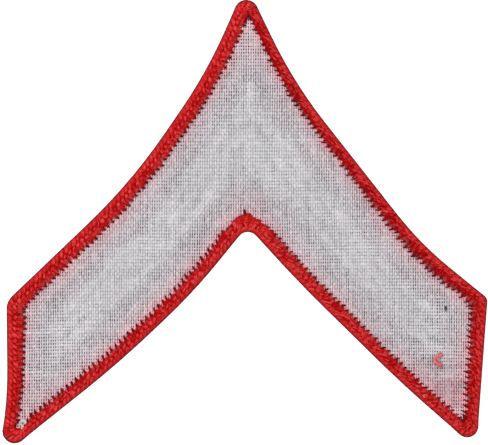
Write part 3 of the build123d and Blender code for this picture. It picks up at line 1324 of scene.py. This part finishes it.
def inner_threads(rng, places):
    """Strands that run in from the chain, and the tips, darkened as painted shade where the needle went
    through.
    """
    many = len(places)
    row = course.row(places)
    fanned = close_to(places, course.notch_place, STITCH_FAN)
    near_notch = close_to(places, course.notch_place, 9 * MM)
    peak = close_to(places, course.notch_place - 0.3 * MM, 0.8 * MM, 2)
    at_left_tip = close_to(places, course.left_tip_place + 2.3 * MM, 3.6 * MM)
    reach = row.reach + rng.normal(0, 1, many) * row.scatter * MM
    reach = reach + (0.80 * peak - 0.30 * fanned - 1.40 * at_left_tip) * MM
    body = reach - row.teeth * (1 + rng.normal(0, 0.12, many)) * (1 - 0.2 * fanned - 0.5 * near_notch)
    lean = row.lean + rng.normal(0, 0.06 * MM, many)
    pale = (0.35 * fanned)[:, None]
    start = row.chain - 0.05 * MM
    threads = Threads()
    share, spread, drop, half_width, painted_light_and_shade_tones = np.array(FILLING_STRAND).T
    for offset, lift in ((-0.57, 0.02), (-0.28, 0.0), (0.0, 0.03), (0.28, 0.0)):
        hollow = max(abs(offset) - 0.12, 0) * (0.50 + 0.25 * row.fine)
        end = body + (0.04 - hollow) * MM + rng.normal(0, 0.10 * MM, many)
        speck = (rng.choice([0.0, 0.46], many, p=[0.72, 0.28]) * (1 - 0.8 * fanned))[:, None]
        base = places + rng.normal(0, 0.03 * MM, many)
        along = base[:, None] + (offset * spread + 0.12 * share) * MM
        depth = start[:, None] + (end - start)[:, None] * share
        height = course.high + (lift - 0.12 - drop) * MM + rng.normal(0, 0.02 * MM, (many, 1))
        tone = painted_light_and_shade_tones + rng.normal(-row.shade, 0.11, many)[:, None] * (share < 0.9) + 0.2 * pale
        closed = 1 + 0.40 * fanned[:, None]
        wide = half_width * closed * np.maximum(course.stretch(places[:, None], depth), 1) * MM
        tint = (0.04 + speck) * np.maximum(share - 0.4, 0)
        threads.add(course.place(along, depth, height), UP, wide, 0.11 * MM, tone, tint=tint)
    share, spread, drop, half_width, painted_light_and_shade_tones = np.array(TIP_STRAND).T
    for offset in (-0.17, 0.0, 0.17):
        base = places + rng.normal(0, 0.02 * MM, many)
        narrow = 1 - 0.30 * row.fine[:, None]
        sideways = lean[:, None] * np.maximum(share, 0) + offset * spread * narrow * MM
        depth = body[:, None] + (reach - body)[:, None] * share
        height = course.high - (drop + 0.10) * MM + rng.normal(0, 0.015 * MM, (many, 1))
        tone = painted_light_and_shade_tones + rng.normal(-row.shade, 0.10, many)[:, None] * (share < 0) + pale * (share > 0)
        slim = 1 - 0.30 * row.fine[:, None] * (share > 0)
        wide = half_width * slim * np.clip(course.stretch(places[:, None], depth), 1, 1.4) * MM
        centres = course.place(base[:, None] + sideways, depth, height)
        threads.add(centres, UP, wide, 0.11 * MM, tone, tint=0.12 * pale)
    spike = np.array(NOTCH_SPIKE) * MM
    spike[:, 2] += course.slot_high
    threads.add(spike, UP, SPIKE_HALF_WIDTHS, 0.11 * MM, SPIKE_PAINTED_SHADE_TONES)
    return threads


class CHEVRON_OT_overlock_border(bpy.types.Operator):
    """Wrap the cut edge in red overlock thread: core, cover, chain and inner stitches"""

    bl_idname = "chevron.overlock_border"
    bl_label = "Overlocked Border"

    def execute(self, context):
        scene = context.scene
        sizes, colours = scene.chevron_stitches, scene.chevron_colours
        rng = np.random.default_rng(31)
        red = red_finish(colours)
        pitch = course.edge.length / sizes.stitches
        places = course.stitch_places(sizes.stitches) + rng.normal(0, 0.05 * pitch, sizes.stitches)
        core = border_core()
        pieces = [
            core,
            cover_threads(sizes, rng, places).make("border_cover", ROUND_TOP),
            chain_threads(rng, places).make("border_chain", ROUND_TOP),
            inner_threads(rng, places).make("border_inner_stitches", ROUND_TOP),
        ]
        for piece in pieces:
            dress(piece, red)
        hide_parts(BORDER)
        return {"FINISHED"}


# Bits of pale lint, in millimetres in the patch's own frame: two at the left tip and one on the border
Lint = namedtuple("Lint", "x y up wide fibres")
LINT = [
    Lint(-44.3, -40.2, 0.10, 0.72, 12),
    Lint(-44.2, -41.3, 0.42, 0.46, 6),
    Lint(35.7, -34.7, 0.52, 0.22, 2),
]

# The loose red thread end on the backing
THREAD_END = [
    Point(39.40, -26.45, 0.12),
    Point(38.70, -26.85, 0.26),
    Point(38.00, -27.50, 0.36),
    Point(38.10, -28.05, 0.36),
    Point(38.75, -28.60, 0.28),
    Point(39.30, -28.95, 0.12),
]
END_PLIES = 7


def lint_threads(rng):
    """Curled fibres of the bits of lint."""
    threads = Threads()
    turns = np.linspace(0, 1, 9)
    for bit in LINT:
        middle = np.array([bit.x, bit.y, bit.up]) * MM
        middle[2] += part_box(BACKING)[1].z
        for _ in range(bit.fibres):
            angle = rng.uniform(0, 2 * np.pi) + turns * rng.uniform(2.0, 5.0)
            away = bit.wide * MM * (0.3 + 0.7 * np.abs(np.cos(np.pi * (turns + rng.uniform(0, 1)))))
            wave = 0.06 * MM * np.sin(3 * angle)
            curl = np.column_stack([away * np.cos(angle), away * np.sin(angle), wave])
            threads.add(middle + curl, UP, 0.07 * MM, 0.06 * MM, 0.84 + rng.normal(0, 0.16))
    return threads


class CHEVRON_OT_loose_thread(bpy.types.Operator):
    """Lay the short red thread end and the bits of lint on the backing"""

    bl_idname = "chevron.loose_thread"
    bl_label = "Loose Thread"

    def execute(self, context):
        colours = context.scene.chevron_colours
        rng = np.random.default_rng(47)
        line = np.array(THREAD_END) * MM
        line[:, 2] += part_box(BACKING)[1].z
        path = even_path(line, np.linspace(0, 1, 15))
        heading = unit(np.gradient(path, axis=0))
        across = np.cross(heading, UP)
        up = np.cross(across, heading)
        threads = Threads()
        middle = 1 - np.abs(np.linspace(-1, 1, len(path)))
        for ply in range(END_PLIES):
            turn = np.linspace(0, rng.uniform(1.5, 2.6) * np.pi, len(path)) + ply * 2 * np.pi / END_PLIES
            loose = (rng.uniform(0.12, 0.42) + 0.12 * middle)[:, None] * MM
            centres = path + loose * (across * np.cos(turn)[:, None] + up * np.sin(turn)[:, None] * 0.6)
            tone = 0.80 + rng.normal(0, 0.20, len(path))
            tint = rng.uniform(0.0, 0.56) + 0.32 * middle
            threads.add(centres, UP, 0.15 * MM, 0.12 * MM, tone, tint=tint)
        piece = threads.make("loose_thread_end", ROUND)
        dress(piece, red_finish(colours, "loose_red_thread"))
        lint = lint_threads(rng).make("loose_lint", ROUND)
        dress(lint, lint_finish(colours))
        return {"FINISHED"}


class StageSettings(bpy.types.PropertyGroup):
    """The floor, the light and the camera"""

    camera_height: FloatProperty(
        name="Camera height", description="Height of the camera over the floor",
        default=0.6, unit="LENGTH",
    )
    view_width: FloatProperty(
        name="View width", description="Width of what the camera sees at the border's middle height",
        default=97.6 * MM, unit="LENGTH", precision=5,
    )
    view_x: FloatProperty(
        name="View middle X", description="Middle of the view, to the right",
        default=-0.19 * MM, unit="LENGTH", precision=6,
    )
    view_y: FloatProperty(
        name="View middle Y", description="Middle of the view, towards the point",
        default=-0.19 * MM, unit="LENGTH", precision=6,
    )
    sky: FloatProperty(
        name="Sky", description="Strength of the even white light",
        default=0.60, min=0,
    )
    floor_glow: FloatProperty(
        name="Floor glow", description="Strength of the light that the floor gives itself",
        default=0.8, min=0,
    )
    key: FloatProperty(
        name="Key light", description="Power of the light at the upper left",
        default=3.2, min=0,
    )
    fill: FloatProperty(
        name="Fill light", description="Power of the light at the lower right",
        default=1.2, min=0,
    )


# The stage in metres: half the floor's side, the places and widths of the two lamps, and the nearest
# that the camera sees
FLOOR_REACH = 3.0
KEY_PLACE, KEY_WIDTH = Vector((-0.42, 0.36, 0.62)), 0.35
FILL_PLACE, FILL_WIDTH = Vector((0.50, -0.30, 0.60)), 0.45
CLIP_START = 0.01
WHITE = (1.0, 1.0, 1.0)


def area_light(name, place, width, power):
    """A soft square light that faces the middle of the patch."""
    data = bpy.data.lights.new(name, "AREA")
    data.shape = "SQUARE"
    data.size = width
    data.energy = power
    lamp = bpy.data.objects.new(name, data)
    bpy.context.scene.collection.objects.link(lamp)
    lamp.location = place
    lamp.rotation_euler = (-place).to_track_quat("-Z", "Y").to_euler()


def white_floor(glow):
    """A white sheet of paper that gives a little light of its own."""
    corners = [(-1, -1, 0), (1, -1, 0), (1, 1, 0), (-1, 1, 0)]
    floor = make_mesh("floor", np.array(corners) * FLOOR_REACH, [np.array([[0, 1, 2, 3]])])
    paper = Finish("white_paper", 0.9)
    paper.shader.inputs["Emission Color"].default_value = (*WHITE, 1)
    paper.shader.inputs["Emission Strength"].default_value = glow
    grain = paper.noise(1500.0)
    tone = paper.math("MULTIPLY_ADD", grain, 0.01, 0.80)
    floor.data.materials.append(paper.finish(paper.shaded(WHITE, tone), grain, 0.01 * MM, 0.2))
    return floor


class CHEVRON_OT_stage(bpy.types.Operator):
    """Set the white floor, soft light and the camera over the patch"""

    bl_idname = "chevron.stage"
    bl_label = "Stage"

    def execute(self, context):
        scene = context.scene
        settings = scene.chevron_stage
        white_floor(settings.floor_glow)
        world = bpy.data.worlds.new("white_sky")
        world.use_nodes = True
        sky = world.node_tree.nodes["Background"]
        sky.inputs["Color"].default_value = (*WHITE, 1)
        sky.inputs["Strength"].default_value = settings.sky
        scene.world = world
        area_light("key_light", KEY_PLACE, KEY_WIDTH, settings.key)
        area_light("fill_light", FILL_PLACE, FILL_WIDTH, settings.fill)
        camera_data = bpy.data.cameras.new("camera")
        camera = bpy.data.objects.new("camera", camera_data)
        scene.collection.objects.link(camera)
        camera.location = (settings.view_x, settings.view_y, settings.camera_height)
        distance = settings.camera_height - (course.low + course.high) / 2
        camera_data.lens = camera_data.sensor_width * distance / settings.view_width
        camera_data.clip_start = CLIP_START
        scene.camera = camera
        scene.view_settings.view_transform = "Standard"
        return {"FINISHED"}


class CHEVRON_PT_pieces(bpy.types.Panel):
    """Lists the chevron's pieces and the values they are made from"""

    bl_label = "Rank Chevron"
    bl_space_type = "VIEW_3D"
    bl_region_type = "UI"
    bl_category = "Rank Chevron"

    def draw(self, context):
        layout = self.layout
        for operator in OPERATORS:
            layout.operator(operator.bl_idname)
        for name, group in SETTINGS.items():
            box = layout.box()
            for key in group.__annotations__:
                box.prop(getattr(context.scene, name), key)


OPERATORS = (
    CHEVRON_OT_stage,
    CHEVRON_OT_rank_stripe,
    CHEVRON_OT_ground_cloth,
    CHEVRON_OT_backing_cloth,
    CHEVRON_OT_overlock_border,
    CHEVRON_OT_loose_thread,
)
SETTINGS = {
    "chevron_colours": Colours,
    "chevron_weave": WeaveSizes,
    "chevron_stitches": StitchSizes,
    "chevron_stage": StageSettings,
}
CLASSES = (*SETTINGS.values(), *OPERATORS, CHEVRON_PT_pieces)


def register():
    """Makes the operators, the panel and the scene's values known."""
    for group in CLASSES:
        bpy.utils.register_class(group)
    for name, group in SETTINGS.items():
        setattr(bpy.types.Scene, name, PointerProperty(type=group))


def unregister():
    """Takes them away again."""
    for name in SETTINGS:
        delattr(bpy.types.Scene, name)
    for group in reversed(CLASSES):
        bpy.utils.unregister_class(group)


def main():
    """Makes every piece and the stage."""
    register()
    bpy.ops.chevron.stage()
    bpy.ops.chevron.rank_stripe()
    bpy.ops.chevron.ground_cloth()
    bpy.ops.chevron.backing_cloth()
    bpy.ops.chevron.overlock_border()
    bpy.ops.chevron.loose_thread()
    bpy.context.view_layer.update()


if __name__ == "__main__":
    main()
